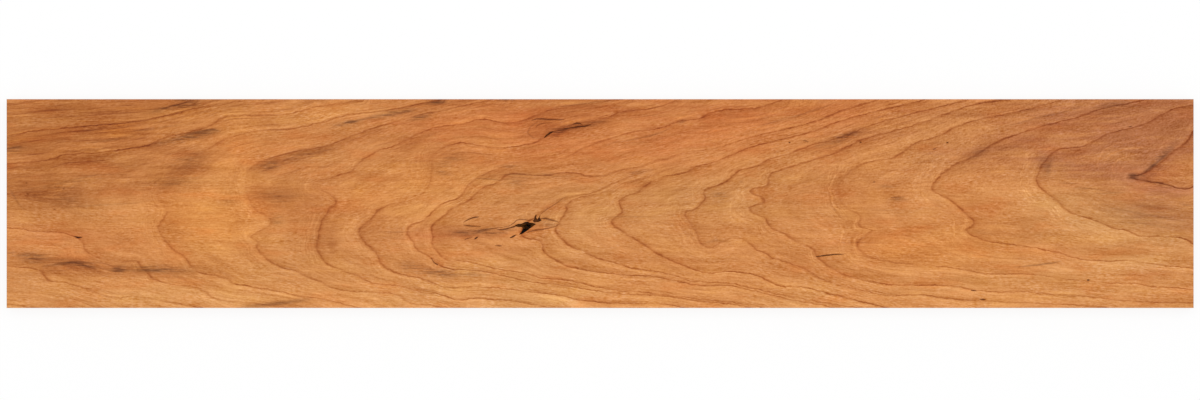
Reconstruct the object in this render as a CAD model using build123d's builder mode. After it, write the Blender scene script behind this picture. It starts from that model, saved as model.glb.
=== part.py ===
"""Cherry board: one flat-sawn plank, planed on both faces, ripped and crosscut square.

The plank is a single solid. Its length runs along X, its width along Y and its thickness
along Z. It lies on its lower face, and the origin is the middle of that face. Where a dead
branch has rotted away, an open knot is left in the upper face.
"""

import os

from build123d import *

# Sawn and planed sizes, in millimetres
board_length = 1219.0
board_width = 214.4
board_thickness = 19.0

# The sawn corners are sharp to the eye and only eased by hand
arris_radius = 0.5

# Middle of the open knot, measured from the -X end and from the -Y edge of the board
knot_from_end = 535.5
knot_from_edge = 85.7

# The knot's torn mouth is shallow, and the pit of the lost branch goes deeper inside it
knot_mouth_depth = 1.5
knot_pit_depth = 6.0

# The pit narrows downwards, to this share of its rim about this point
knot_pit_narrowing = 0.55
knot_pit_middle = (0.6, -1.4)

# Edge of the torn mouth, point by point, in millimetres from the knot's middle
knot_mouth_outline = [
    (-13.4, -1.1),
    (-8.6, -2.9),
    (-5.3, -2.8),
    (-5.6, -6.0),
    (-9.7, -9.8),
    (-3.3, -8.1),
    (2.1, -4.6),
    (7.4, 0.0),
    (9.2, 2.4),
    (13.4, 4.2),
    (8.0, 5.4),
    (8.4, 10.0),
    (5.6, 6.6),
    (3.9, 2.2),
    (-2.1, 2.0),
    (-3.8, -0.1),
    (-7.6, 0.2),
]

# Rim of the pit inside the mouth
knot_pit_rim = [
    (-4.2, -1.4),
    (-4.0, -5.2),
    (-2.6, -6.4),
    (1.8, -3.4),
    (6.4, 0.8),
    (7.2, 3.2),
    (4.6, 1.2),
    (-1.6, 0.9),
]

# Floor of the pit, the same outline drawn in towards its middle
knot_pit_floor = [
    tuple(middle + (rim - middle) * knot_pit_narrowing for rim, middle in zip(point, knot_pit_middle))
    for point in knot_pit_rim
]

knot_plane = Plane(
    origin=(
        knot_from_end - board_length / 2,
        knot_from_edge - board_width / 2,
        board_thickness,
    )
)

with BuildPart() as board:
    # The squared plank with its eased arrises
    with BuildSketch():
        Rectangle(board_length, board_width)
    extrude(amount=board_thickness)
    fillet(board.edges(), radius=arris_radius)

    # The torn mouth of the knot
    with BuildSketch(knot_plane):
        with BuildLine():
            Polyline(*knot_mouth_outline, close=True)
        make_face()
    extrude(amount=-knot_mouth_depth, mode=Mode.SUBTRACT)

    # The pit of the lost branch, narrowing downwards
    with BuildSketch(knot_plane):
        with BuildLine():
            Polyline(*knot_pit_rim, close=True)
        make_face()
    with BuildSketch(knot_plane.offset(-knot_pit_depth)):
        with BuildLine():
            Polyline(*knot_pit_floor, close=True)
        make_face()
    loft(ruled=True, mode=Mode.SUBTRACT)

board.part.label = "board"

os.makedirs("parts", exist_ok=True)
export_step(board.part, "parts/board.step")

print("board", board.part.bounding_box().size, "volume", round(board.part.volume), "mm3")
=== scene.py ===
# %% [markdown]
# # A cherry board
# This is one flat-sawn plank of cherry, planed on both faces and cut square. All that there is to see
# is the wood: the arches where the saw crossed the growth rings, the fibres, some smoky gum stains and
# an open knot. The plank's sizes come from the packed model, and everything below is dressed around it.

# %% Load the packed plank
import math

import bmesh
import bpy
import numpy as np
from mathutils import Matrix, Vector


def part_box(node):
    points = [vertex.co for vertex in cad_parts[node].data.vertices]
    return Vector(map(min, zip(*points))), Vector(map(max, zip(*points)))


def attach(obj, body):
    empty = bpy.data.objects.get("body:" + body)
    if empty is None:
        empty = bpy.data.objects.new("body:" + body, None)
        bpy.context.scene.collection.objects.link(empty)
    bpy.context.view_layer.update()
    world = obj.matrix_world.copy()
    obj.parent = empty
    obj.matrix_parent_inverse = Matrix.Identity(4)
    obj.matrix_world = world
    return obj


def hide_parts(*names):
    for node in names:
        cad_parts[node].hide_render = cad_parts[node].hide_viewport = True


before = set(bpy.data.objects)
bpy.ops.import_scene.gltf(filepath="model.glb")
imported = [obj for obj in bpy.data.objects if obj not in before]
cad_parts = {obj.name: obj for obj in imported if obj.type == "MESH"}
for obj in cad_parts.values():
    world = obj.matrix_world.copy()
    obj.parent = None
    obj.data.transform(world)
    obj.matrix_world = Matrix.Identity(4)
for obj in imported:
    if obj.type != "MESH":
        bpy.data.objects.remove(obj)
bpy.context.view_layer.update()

plank_low, plank_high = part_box("board")

MM = 0.001
plank_length, plank_width, plank_thickness = [(high - low) / MM for low, high in zip(plank_low, plank_high)]
print("plank in mm:", round(plank_length, 1), round(plank_width, 1), round(plank_thickness, 1))

# %% [markdown]
# ## The studio
# The plank lies on a white sheet and is photographed from straight above. A long lens from four metres up
# keeps its edges parallel, and the frame is a little longer than the plank. The light is a broad soft box
# overhead with white walls all round, so nothing throws a hard shadow. The sheet is lit a little from
# below as on a light table, which keeps it white right up to the wood.

# %% Camera straight above the face
frame_length = 1232.3
camera_lens = 120.0
camera_sensor = 36.0
aim_along = -0.12
aim_across = 3.67
camera_height = frame_length * camera_lens / camera_sensor + plank_thickness

camera_data = bpy.data.cameras.new("studio_camera")
camera_data.lens = camera_lens
camera_data.sensor_width = camera_sensor
camera_data.clip_end = 50.0
camera = bpy.data.objects.new("studio_camera", camera_data)
camera.location = (aim_along * MM, aim_across * MM, camera_height * MM)
bpy.context.collection.objects.link(camera)
bpy.context.scene.camera = camera
print("camera", round(camera_height), "mm up, sees", frame_length, "mm of length")

# %% White sheet, soft box and white walls
sheet_half = 12.0
sheet_gap = 0.0002
wall_light = 0.62
white = (1.0, 1.0, 1.0, 1.0)

sheet_mesh = bpy.data.meshes.new("white_sheet")
sheet_corners = [(-1, -1), (1, -1), (1, 1), (-1, 1)]
sheet_points = [(x * sheet_half, y * sheet_half, -sheet_gap) for x, y in sheet_corners]
sheet_mesh.from_pydata(sheet_points, [], [(0, 1, 2, 3)])
white_sheet = bpy.data.objects.new("white_sheet", sheet_mesh)
bpy.context.collection.objects.link(white_sheet)

sheet_paper = bpy.data.materials.new("white_paper")
sheet_paper.use_nodes = True
paper_look = {
    "Base Color": (0.12, 0.12, 0.12, 1.0),
    "Roughness": 0.9,
    "Specular IOR Level": 0.0,
    "Emission Color": white,
    "Emission Strength": 0.86,
}
for socket, value in paper_look.items():
    sheet_paper.node_tree.nodes["Principled BSDF"].inputs[socket].default_value = value
sheet_mesh.materials.append(sheet_paper)

studio = bpy.context.scene.world or bpy.data.worlds.new("studio")
bpy.context.scene.world = studio
studio.use_nodes = True
studio.node_tree.nodes["Background"].inputs["Color"].default_value = white
studio.node_tree.nodes["Background"].inputs["Strength"].default_value = wall_light

soft_box = bpy.data.lights.new("soft_box", "AREA")
soft_box.shape = "RECTANGLE"
soft_box.size = 5.0
soft_box.size_y = 3.0
soft_box.energy = 88.0
soft_box_object = bpy.data.objects.new("soft_box", soft_box)
soft_box_object.location = (0.0, 0.5, 3.2)
soft_box_object.rotation_euler = (-0.15, 0.0, 0.0)
soft_box_object.visible_camera = False
bpy.context.collection.objects.link(soft_box_object)

bpy.context.scene.view_settings.view_transform = "Standard"
bpy.context.scene.view_settings.look = "None"
print("soft box", soft_box.size, "by", soft_box.size_y, "m, walls at", wall_light)

# %% [markdown]
# ## The growth rings on the face
# A log is a stack of thin cones, one for each year. A flat saw cut through them shows nested arches. On
# this board the arches point to the left and open to the right, and each one wanders where the log was
# lumpy. They are the board's fingerprint, so each ring is drawn here as a line of points, as with a
# pencil on tracing paper: millimetres from the left end and from the front edge, from where the ring
# leaves the board on the lower right, round its tip, to where it leaves on the upper right. Ring numbers
# go up towards the heart of the tree, which lies below the board. The tips of the first four rings and
# the whole of the last one lie past the board's ends, so they are guessed.

# %% Ring lines traced on the face
ring_lines = {
    0: [(60, -6), (30, 0), (0, 4), (-330, 60), (-330, 160), (0, 209), (30, 212), (70, 219)],
    1: [
        (100, -3), (70, 8), (35, 14.5), (0, 17), (-240, 60), (-240, 160), (0, 195), (155, 205), (175, 209),
        (190, 213.5),
    ],
    2: [
        (205, -1), (128, 12), (118, 10.5), (105, 12), (62, 26), (47, 27), (41, 30), (36, 37.5), (30, 39.5),
        (0, 43.5), (-150, 80), (-150, 145), (0, 177), (35, 182.5), (130, 191), (160, 196.5), (195, 205),
        (240, 213),
    ],
    3: [
        (300, -2), (262, 4), (222, 8), (210, 11), (204, 17), (195, 21), (168, 24.5), (149, 31), (145, 36.5),
        (138, 41), (134, 48), (112, 47), (83, 57), (79.5, 61), (78, 67), (74, 71.5), (68, 74), (60, 76.5),
        (25, 79.5), (12, 82), (0, 82), (-70, 100), (-70, 130), (0, 148), (35, 151), (47, 153), (57, 157),
        (100, 160.5), (148, 168), (157, 173), (203, 185), (212, 189), (221, 195), (230, 197), (285, 198.5),
        (315, 206), (365, 213.5),
    ],
    4: [
        (366, -1), (330, 8), (305, 11.5), (278, 17.5), (245, 23), (232, 26), (226, 30), (217, 33),
        (197, 37), (179, 55), (172, 59), (157, 77), (155.5, 81), (157, 86), (164, 97), (163, 103),
        (154, 115), (155, 122), (162, 131), (175, 142), (220, 171), (232, 176), (260, 182), (292, 184),
        (320, 189.5), (347, 197.5), (395, 204), (445, 214),
    ],
    5: [
        (450, -0.5), (437, 2.5), (420, 4), (412, 6.5), (400, 13.5), (355, 17), (331, 21), (325, 25.5),
        (306, 33), (299, 37), (279, 43), (267, 50.5), (256, 62.5), (258, 66.5), (255, 70), (250, 73),
        (271, 86), (271, 91), (255, 101), (249, 110), (246, 122), (245, 133), (248, 141), (257, 148),
        (296, 160.5), (326, 166), (368, 182), (430, 199.5), (500, 214),
    ],
    6: [
        (562, -0.5), (524, 6.5), (497, 9), (485, 10), (461, 8.5), (441, 15), (430, 15), (409, 21.5),
        (376, 25.5), (369, 28), (364, 32), (357, 35), (350, 36.5), (329, 45), (325, 49), (319, 60),
        (318, 66), (320, 72), (320, 79), (323, 85), (324, 91), (329, 96), (330, 101), (336, 104.5),
        (338.5, 109), (335, 114.5), (314, 126), (320, 131), (333, 134), (356, 142), (360, 148),
        (383, 162.5), (395, 165.5), (436, 184.5), (465, 188.5), (488, 194), (508, 190.5), (520, 190.5),
        (530, 192.5), (550, 200.5), (563, 204), (635, 215),
    ],
    7: [
        (700, -1), (688, 2), (672, 4), (608, 6), (582, 9.5), (572, 12), (490, 21.5), (455, 21), (443, 22.5),
        (428, 30), (403, 35), (386, 44), (379, 57), (368, 67), (362, 77), (363, 82), (374, 91), (381, 100),
        (395, 106.5), (418, 112), (428, 119), (435, 131), (437, 154), (441, 161), (448, 164.5), (457, 168),
        (465, 169.5), (503, 165), (517, 165), (530, 167), (541, 170), (549, 173.5), (556, 179), (567, 184),
        (580, 188), (617, 196), (632, 201.5), (664, 205.5), (688, 213),
    ],
    8: [
        (766, -0.5), (752, 3), (706, 7.5), (680, 12), (622, 15.3), (606, 17.3), (572, 23), (540, 26.5),
        (490, 37.5), (452, 41), (445, 44), (435, 52), (420, 61), (418, 66.5), (412, 76), (412.5, 82),
        (418, 86.5), (427, 89.5), (446, 106.5), (464, 113), (469, 118), (473, 125.5), (480, 131.5),
        (508, 144.5), (560, 151), (576, 155.5), (591, 164), (609, 170.5), (645, 181), (672, 185),
        (695, 192.5), (712, 195), (722, 200), (735, 203), (772, 206), (796, 213.5),
    ],
    9: [
        (777, -0.5), (752, 4.8), (706, 9.3), (660, 15.5), (618, 19.2), (576, 28.3), (550, 30.5),
        (530, 36.5), (508, 39), (476, 47), (450, 50), (445, 54.5), (436.5, 66), (438, 71), (435.5, 83),
        (440, 88), (451, 96), (455, 101), (475, 111), (486, 121.5), (493, 125.5), (504, 129), (513, 137),
        (526, 137.7), (540, 136), (556, 136.5), (570, 139), (582, 139), (596, 136), (612, 136),
        (634, 142.5), (650, 145), (668, 152), (682, 155), (692, 159), (728, 164), (763, 174.8),
        (829, 191.2), (862, 204.4), (893, 213),
    ],
    10: [
        (850, -0.5), (838, 3), (805, 8.8), (742, 23), (711, 23.2), (668, 31.8), (632, 34), (578, 42.5),
        (551, 58.5), (550.5, 64), (547, 69), (531.5, 72.5), (528, 78), (533, 86), (553, 102), (562, 108.5),
        (573, 113), (601, 118.5), (640, 135.5), (740, 163), (763, 171.5), (815, 185), (865, 201.5),
        (907, 213),
    ],
    11: [
        (876, -0.5), (805, 11.3), (742, 25.3), (711, 26.8), (698, 29), (680, 34.7), (640, 42), (599, 54.5),
        (594, 58), (585, 60.5), (578, 64), (571, 70), (563, 81), (567, 86.5), (569, 92), (575, 99.5),
        (574.5, 105), (580, 110), (616, 120), (630, 126), (660, 135), (680, 143), (722, 153), (763, 168),
        (815, 181), (865, 198.5), (915, 211.5),
    ],
    12: [
        (906, -0.5), (825, 19.5), (812, 21.8), (797, 22), (788, 24.5), (770, 33.5), (742, 37.5),
        (721, 35.7), (712, 37.5), (674, 52.5), (654, 65), (620.5, 89), (630, 96), (632, 100), (629, 109),
        (634, 113.5), (648, 119.5), (657, 127), (679, 135.5), (700, 140.5), (704, 144), (726, 149.5),
        (763, 164.9), (820, 179), (865, 194.8), (941, 213.5),
    ],
    13: [
        (1130, 0.5), (1100, 3), (980, 8.5), (935, 13.3), (906, 12.5), (895, 14.5), (838, 29), (818, 41),
        (785, 52), (778, 57), (770, 60), (757, 70), (748, 71.5), (733, 66.5), (724, 61.5), (716, 63.5),
        (712, 67), (708, 78), (697.5, 93), (696, 97), (698, 99.7), (705, 100.3), (716, 110), (717.5, 113.5),
        (715, 117), (717, 121), (735, 128), (741, 131.5), (751, 140.5), (769, 145.5), (788, 154.8),
        (799, 157), (830, 168.5), (855, 174.5), (888, 187.8), (985, 213.5),
    ],
    14: [
        (1219, 5), (1145, 7.7), (1112, 11.7), (1092, 12.2), (1040, 16.7), (1020, 16), (993, 18), (975, 22),
        (901, 24.3), (889, 26.7), (864, 33), (848, 40), (831, 54), (829, 60), (813, 66.5), (801, 75),
        (786, 82), (782, 86.5), (780, 91), (762, 102), (778, 109.5), (777, 112.5), (766, 117.5),
        (764, 120.5), (768, 123.3), (776, 124), (782, 126.5), (782, 132), (785, 138), (793, 141.5),
        (852, 160), (872, 170), (885, 174.7), (937, 189.4), (992, 208.8), (1030, 214),
    ],
    15: [
        (1219, 19), (1171, 22.5), (1160, 25), (1145, 25), (1083, 29.8), (1058, 34.3), (1005, 35.5),
        (965, 42), (925, 45), (888, 51.5), (880, 55), (875, 60.5), (873, 66), (877, 71), (889, 79.3),
        (881, 81.8), (874, 86.5), (877, 92), (875, 96.5), (867, 99.5), (860, 105), (853, 118), (853, 124.5),
        (864, 138), (870, 143.5), (881, 148.6), (911, 155), (920, 160), (930, 168), (960, 178),
        (973, 185.3), (1006, 195.2), (1040, 202), (1082, 213.2),
    ],
    16: [
        (1219, 41), (1178, 44.5), (1155, 48.7), (1128, 48.2), (1100, 50.5), (1080, 56.5), (1048, 63),
        (1006, 69), (997, 72.5), (985, 79.5), (993.5, 86.5), (990, 92), (966, 112.5), (951, 120),
        (950, 124), (953, 129), (957, 135), (964, 140.5), (972, 146), (989, 153.7), (1013, 168.5),
        (1023, 173), (1066, 187.3), (1106, 198), (1117, 202.5), (1168, 213.5),
    ],
    17: [
        (1219, 66), (1209, 71), (1196, 73), (1166, 74), (1158, 76), (1150, 79.7), (1138, 81.5), (1117, 90),
        (1095, 97), (1087, 101.5), (1081, 108), (1066, 119.5), (1060, 125), (1057.5, 131), (1059, 137.5),
        (1067, 152), (1079, 162.5), (1101, 165.3), (1111, 168.3), (1129, 178), (1164, 187.5), (1175, 192),
        (1196, 203.5), (1219, 208.3),
    ],
    18: [
        (1219, 124), (1210, 122), (1201, 123.3), (1192, 126.3), (1153, 134.5), (1168, 138.5), (1184, 148.5),
        (1197, 160), (1210, 168.5), (1219, 182),
    ],
    19: [(1290, 128), (1262, 138), (1240, 150), (1252, 168), (1290, 190)],
}
print(len(ring_lines), "ring lines,", sum(len(line) for line in ring_lines.values()), "points")

# %% How dark each ring line is
ring_darkness = {
    0: 0.4, 1: 0.25, 2: 0.7, 3: 0.65, 4: 0.6, 5: 0.55, 6: 0.7, 7: 0.7, 8: 0.8, 9: 0.75, 10: 0.8,
    11: 0.85, 12: 0.9, 13: 0.75, 14: 0.8, 15: 0.7, 16: 0.85, 17: 0.8, 18: 1.0, 19: 0.6,
}

# Where a ring's line fades or darkens on its way: place, reach, and the darkness there
ring_touches = {
    2: [(90, 18, 40, 0.3), (150, 8, 50, 0.3), (30, 42, 30, 0.85), (220, 209, 30, 0.3), (100, 187, 80, 1.0)],
    3: [
        (108, 50, 20, 0.0), (40, 79, 38, 0.9), (110, 168, 60, 1.0), (170, 25, 30, 0.6), (255, 198, 50, 0.5),
        (222, 9, 45, 0.3),
    ],
    4: [
        (235, 26, 32, 0.9), (157, 122, 22, 0.05), (185, 152, 36, 0.05), (262, 182, 34, 0.6),
        (370, 201, 60, 0.6),
    ],
    5: [
        (262, 96, 22, 0.3), (246, 128, 26, 0.1), (275, 154, 20, 0.3), (300, 33, 40, 0.6),
        (375, 183, 60, 0.7),
    ],
    6: [(318, 127, 14, 0.15)],
    7: [
        (433, 135, 22, 0.05), (475, 166, 60, 0.9), (418, 113, 20, 0.1), (437, 152, 18, 0.1),
        (562, 181, 14, 0.0),
    ],
    8: [(540, 150, 58, 0.0), (480, 39, 32, 0.95), (700, 193, 60, 0.85)],
    9: [(560, 137, 45, 0.55), (632, 141, 34, 0.3), (712, 161, 58, 0.15), (830, 192, 60, 0.8)],
    10: [
        (600, 38, 50, 1.0), (563, 109, 26, 0.2), (538, 68, 26, 0.95), (700, 150, 100, 0.0),
        (830, 190, 80, 0.0),
    ],
    11: [(576, 102, 18, 0.7), (625, 124, 30, 0.2), (720, 153, 70, 0.0), (840, 190, 80, 0.0)],
    12: [(765, 166, 20, 1.0)],
    13: [
        (745, 134, 22, 0.95), (700, 97, 12, 0.8), (705, 80, 20, 0.35), (740, 67, 22, 0.3),
        (1060, 5, 80, 0.4), (850, 25, 45, 0.6),
    ],
    14: [(1090, 13, 90, 0.5), (850, 38, 40, 0.6)],
    15: [
        (965, 181, 50, 0.75), (857, 124, 38, 0.25), (864, 88, 18, 0.4), (1060, 35, 110, 0.65),
        (930, 46, 40, 0.55),
    ],
    16: [(1150, 48, 60, 0.55), (1030, 65, 40, 0.75)],
    17: [(1205, 206, 26, 1.0), (1190, 73, 35, 0.85)],
}
touch_count = sum(len(touches) for touches in ring_touches.values())
print("darkest ring line:", max(ring_darkness, key=ring_darkness.get), "and", touch_count, "touches")

# %% [markdown]
# ## From pencil lines to a ring number at every spot
# The points are joined by a smooth curve that passes through each of them. Then every spot on the face
# gets its distance to each ring, counted positive on the heart side. Between two rings the number grows
# with the share of the way across, so the pattern can't overshoot or curl up as a fitted surface would.

# %% Smooth curve through traced points
curve_step = 5.0


def between(t, start_time, end_time, start, end):
    """The spots on the straight way from start to end at the times t."""
    share = (t - start_time) / (end_time - start_time)
    return (1 - share) * start + share * end


def smooth_line(points):
    """A curve through the points, as a list of short straight steps."""
    spots = np.array(points, float)
    spots = np.vstack([2 * spots[0] - spots[1], spots, 2 * spots[-1] - spots[-2]])
    pieces = []
    for before, start, end, after in zip(spots, spots[1:], spots[2:], spots[3:]):
        run = np.linalg.norm(end - start)
        time_1 = np.linalg.norm(start - before) ** 0.5
        time_2 = time_1 + run ** 0.5
        time_3 = time_2 + np.linalg.norm(after - end) ** 0.5
        count = max(2, math.ceil(run / curve_step))
        t = np.linspace(time_1, time_2, count, endpoint=False)[:, None]
        first = between(t, 0, time_1, before, start)
        middle = between(t, time_1, time_2, start, end)
        last = between(t, time_2, time_3, end, after)
        early = between(t, 0, time_2, first, middle)
        late = between(t, time_1, time_3, middle, last)
        pieces.append(between(t, time_1, time_2, early, late))
    return np.vstack(pieces + [spots[-2:-1]])


ring_curves = {ring: smooth_line(line) for ring, line in ring_lines.items()}
print("steps in the ring curves:", sum(len(curve) for curve in ring_curves.values()))

# %% Distance to a line, and the side of it
spots_at_once = 1500
spot_by_the_knot = np.array([[540.0, 100.0]])


def nearest_on(line, spots):
    """For each spot: distance to a line, share of the way along it, side of it and its lean there.

    The side is 1 on the left of the line's run and -1 on the right. The lean is the line's angle to the
    plank's length in degrees, positive where it rises to the right.
    """
    line = np.asarray(line, float)
    start = line[:-1].astype(np.float32)
    run = np.diff(line, axis=0).astype(np.float32)
    length = np.hypot(run[:, 0], run[:, 1])
    walked = np.concatenate([[0], np.cumsum(length)])
    found = []
    for first in range(0, len(spots), spots_at_once):
        away = spots[first:first + spots_at_once, None].astype(np.float32) - start
        share = np.clip((away * run).sum(2) / length ** 2, 0, 1)
        square = ((away - share[..., None] * run) ** 2).sum(2)
        step = square.argmin(1)
        row = np.arange(len(step))
        along = (walked[step] + share[row, step] * length[step]) / walked[-1]
        turn = run[step, 0] * away[row, step, 1] - run[step, 1] * away[row, step, 0]
        forward = np.where(run[step, 0] < 0, -1, 1)
        lean = np.degrees(np.arctan2(run[step, 1] * forward, run[step, 0] * forward))
        found.append(np.stack([np.sqrt(square[row, step]), along, np.where(turn > 0, 1, -1), lean]))
    return np.concatenate(found, axis=1)


to_ring_10 = nearest_on(ring_curves[10], spot_by_the_knot)[0, 0]
print("from a spot by the knot to ring 10:", to_ring_10.round(1), "mm")

# %% Inside or outside an outline


def is_inside(outline, spots):
    """True for each spot inside a closed outline: a ray to the right crosses it an odd number of times."""
    inside = np.zeros(len(spots), bool)
    x, y = spots[:, 0], spots[:, 1]
    for (x0, y0), (x1, y1) in zip(outline, np.roll(outline, -1, axis=0)):
        if y0 == y1:
            continue
        crosses = (y0 > y) != (y1 > y)
        inside ^= crosses & (x < x0 + (y - y0) / (y1 - y0) * (x1 - x0))
    return inside


inside_ring_9 = is_inside(ring_curves[9], spot_by_the_knot)[0]
print("the spot lies on the heart side of ring 9:", bool(inside_ring_9))

# %% Ring number at a spot
far_right = 6000.0
run_on = 40.0
narrowest_band = 0.5
past_last_ring = 0.95


def heart_side(curve):
    """The outline of all that lies on the heart side of a ring, run on past the board to the far right."""
    start = curve[0] + (curve[0] - curve[1]) * run_on
    end = curve[-1] + (curve[-1] - curve[-2]) * run_on
    return np.vstack([curve, end, (far_right, end[1]), (far_right, start[1]), start])


def ring_gaps(spots):
    """Signed distance from each spot to each ring, and the lean of each ring there, a row for each ring."""
    gaps, leans = [], []
    for curve in ring_curves.values():
        away, lean = nearest_on(curve, spots)[[0, 3]]
        gaps.append(np.where(is_inside(heart_side(curve), spots), away, -away))
        leans.append(lean)
    return np.array(gaps), np.array(leans)


def ring_numbers(gaps):
    """Ring number at each spot, and the width of the band between the two rings on either side of it."""
    outer = np.clip((gaps > 0).sum(0) - 1, 0, len(gaps) - 2)
    spot = np.arange(gaps.shape[1])
    to_outer, to_inner = gaps[outer, spot], gaps[outer + 1, spot]
    band = np.maximum(to_outer - to_inner, narrowest_band)
    return outer + np.clip(to_outer / band, -past_last_ring, 1 + past_last_ring), band


print("ring number at that spot:", ring_numbers(ring_gaps(spot_by_the_knot)[0])[0].round(2))

# %% [markdown]
# ## The plank as one closed skin
# The face carries the ring numbers on its points, so it needs a fine net, a little over two millimetres to
# a cell. The underside is seen less, and has cells twice as large. The skin is made as a net for the face,
# loops that go round the eased arris and down the sides, and a coarser net below, so it is one closed
# mesh with no seam for light to leak through.

# %% Nets and the bands between loops
cells_along = 530
cells_across = 94
arris = 0.5
side_steps = 6


def face_net(count_along, count_across):
    """Points of a flat net inside the arris, in mm from the middle, as a grid of x and a grid of y."""
    along = np.linspace(-plank_length / 2 + arris, plank_length / 2 - arris, count_along + 1)
    across = np.linspace(-plank_width / 2 + arris, plank_width / 2 - arris, count_across + 1)
    return np.meshgrid(along, across, indexing="ij")


def round_the_rim(count_along, count_across):
    """Net places along the rim, counter-clockwise from the front left corner."""
    front = [(i, 0) for i in range(count_along)]
    right = [(count_along, j) for j in range(count_across)]
    back = [(i, count_across) for i in range(count_along, 0, -1)]
    left = [(0, j) for j in range(count_across, 0, -1)]
    return front + right + back + left


def net_faces(numbers):
    """Faces of a net from a grid of its point numbers."""
    corners = [numbers[:-1, :-1], numbers[1:, :-1], numbers[1:, 1:], numbers[:-1, 1:]]
    return np.stack([corner.ravel() for corner in corners], 1).tolist()


def band_between(upper, lower):
    """Faces between two loops with as many points."""
    after = [(p + 1) % len(upper) for p in range(len(upper))]
    return [[upper[p], lower[p], lower[q], upper[q]] for p, q in enumerate(after)]


print("cells on the face:", cells_along, "by", cells_across)

# %% The face and the loops down the sides
net_x, net_y = face_net(cells_along, cells_across)
rim = round_the_rim(cells_along, cells_across)
rim_x = np.array([net_x[place] for place in rim])
rim_y = np.array([net_y[place] for place in rim])
out_x = np.array([(i == cells_along) - (i == 0) for i, j in rim], float)
out_y = np.array([(j == cells_across) - (j == 0) for i, j in rim], float)

points = [np.column_stack([net_x.ravel(), net_y.ravel(), np.full(net_x.size, plank_thickness)])]
place_number = np.arange(net_x.size).reshape(net_x.shape)
faces = net_faces(place_number)

# Each loop is a step outwards from the face's rim and a height
half_turn = math.radians(45)
arris_out = arris * math.sin(half_turn)
arris_down = arris * (1 - math.cos(half_turn))
loops = [(arris_out, plank_thickness - arris_down)]
loops += [(arris, height) for height in np.linspace(plank_thickness - arris, arris, side_steps + 1)]

upper_loop = [int(place_number[place]) for place in rim]
rim_count = len(rim)
next_number = net_x.size
for outwards, height in loops:
    loop_x = rim_x + out_x * outwards
    loop_y = rim_y + out_y * outwards
    points.append(np.column_stack([loop_x, loop_y, np.full(rim_count, height)]))
    lower_loop = list(range(next_number, next_number + rim_count))
    next_number += rim_count
    faces += band_between(upper_loop, lower_loop)
    upper_loop = lower_loop
print("loops round the plank:", len(loops), "of", rim_count, "points")

# %% Every second point goes on round the lower arris to the underside
half_count = rim_count // 2
half_loop = list(range(next_number, next_number + half_count))
half_x = rim_x[::2] + out_x[::2] * arris_out
half_y = rim_y[::2] + out_y[::2] * arris_out
points.append(np.column_stack([half_x, half_y, np.full(half_count, arris_down)]))
next_number += half_count
for p, first in enumerate(range(0, rim_count, 2)):
    below_it = [half_loop[p], half_loop[(p + 1) % half_count]]
    beside_it = [upper_loop[(first + 2) % rim_count], upper_loop[first + 1]]
    faces.append([upper_loop[first]] + below_it + beside_it)

# The underside's net is turned over, so that its faces look down
under_x, under_y = face_net(cells_along // 2, cells_across // 2)
under_number = np.arange(next_number, next_number + under_x.size).reshape(under_x.shape)
points.append(np.column_stack([under_x.ravel(), under_y.ravel(), np.zeros(under_x.size)]))
under_rim = [int(under_number[place]) for place in round_the_rim(cells_along // 2, cells_across // 2)]
faces += band_between(half_loop, under_rim)
faces += net_faces(under_number.T)

skin = np.vstack(points)
plank_mesh = bpy.data.meshes.new("cherry_plank")
plank_mesh.from_pydata((skin * MM).tolist(), [], faces)
print("skin:", len(skin), "points,", len(faces), "faces")

# %% [markdown]
# ## The open knot and the cracks
# A dead branch left a torn hole in the face, with splinters at its rim and short drying cracks round it.
# They are real hollows, so the net is cut finer there and its points are pushed down. The knot is the one
# in the plank's own solid, with its small upper crown torn apart from the pit by a ledge of sound wood.

# %% Outlines of the knot, cracks and gum pockets
knot_mouth = np.array([
    (521.6, 84.4), (525.0, 86.2), (529.0, 86.5), (532.4, 88.3), (535.2, 88.6), (537.0, 87.5), (540.4, 87.3),
    (543.6, 86.2), (539.8, 83.5), (536.4, 80.9), (533.5, 78.7), (529.3, 76.0), (526.4, 75.5), (528.2, 77.8),
    (529.6, 80.1), (530.2, 82.2), (529.0, 83.1), (525.0, 83.3),
])
knot_crown = np.array([
    (540.5, 89.3), (541.8, 91.5), (542.2, 93.6), (543.6, 96.0), (544.3, 94.9), (543.7, 92.7), (545.4, 91.6),
    (546.7, 93.3), (548.3, 96.0), (547.4, 92.6), (549.3, 89.9), (546.1, 88.2), (541.5, 87.8),
])
knot_pit = np.array([
    (526.6, 84.9), (531.0, 85.2), (534.4, 86.8), (540.6, 85.8), (537.0, 82.6), (532.6, 79.4), (530.8, 79.6),
    (531.6, 82.6), (529.6, 84.0),
])
knot_mouth_depth = 1.5
knot_crown_depth = 1.2
knot_pit_depth = 6.0

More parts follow.
